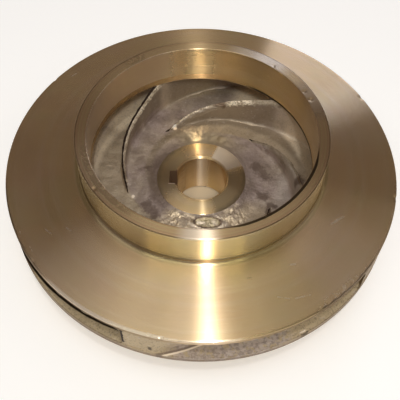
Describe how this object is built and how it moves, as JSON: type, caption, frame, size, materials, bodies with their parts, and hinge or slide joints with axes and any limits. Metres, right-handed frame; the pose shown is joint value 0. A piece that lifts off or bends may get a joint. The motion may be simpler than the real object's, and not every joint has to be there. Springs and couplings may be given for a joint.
{
  "type": "pump impeller",
  "caption": "Closed centrifugal pump impeller in bronze: backward-swept vanes between two shrouds, a turned suction neck round the eye, and a keyed hub bore.",
  "frame": {"origin": "centre of the hub's back end, on the shaft axis, at the plane the impeller stands on", "axes": "+Z along the shaft axis towards the suction eye; the keyway is on -X"},
  "size_m": [0.26, 0.26, 0.087],
  "materials": {
    "turned_bronze": "turned bright",
    "cast_bronze": "as cast, dull"
  },
  "bodies": {
    "root": {"hub": "turned_bronze", "rear_shroud": "cast_bronze", "front_shroud": "turned_bronze", "suction_neck": "turned_bronze", "vane_1": "cast_bronze", "vane_2": "cast_bronze", "vane_3": "cast_bronze", "vane_4": "cast_bronze", "vane_5": "cast_bronze"}
  },
  "joints": []
}
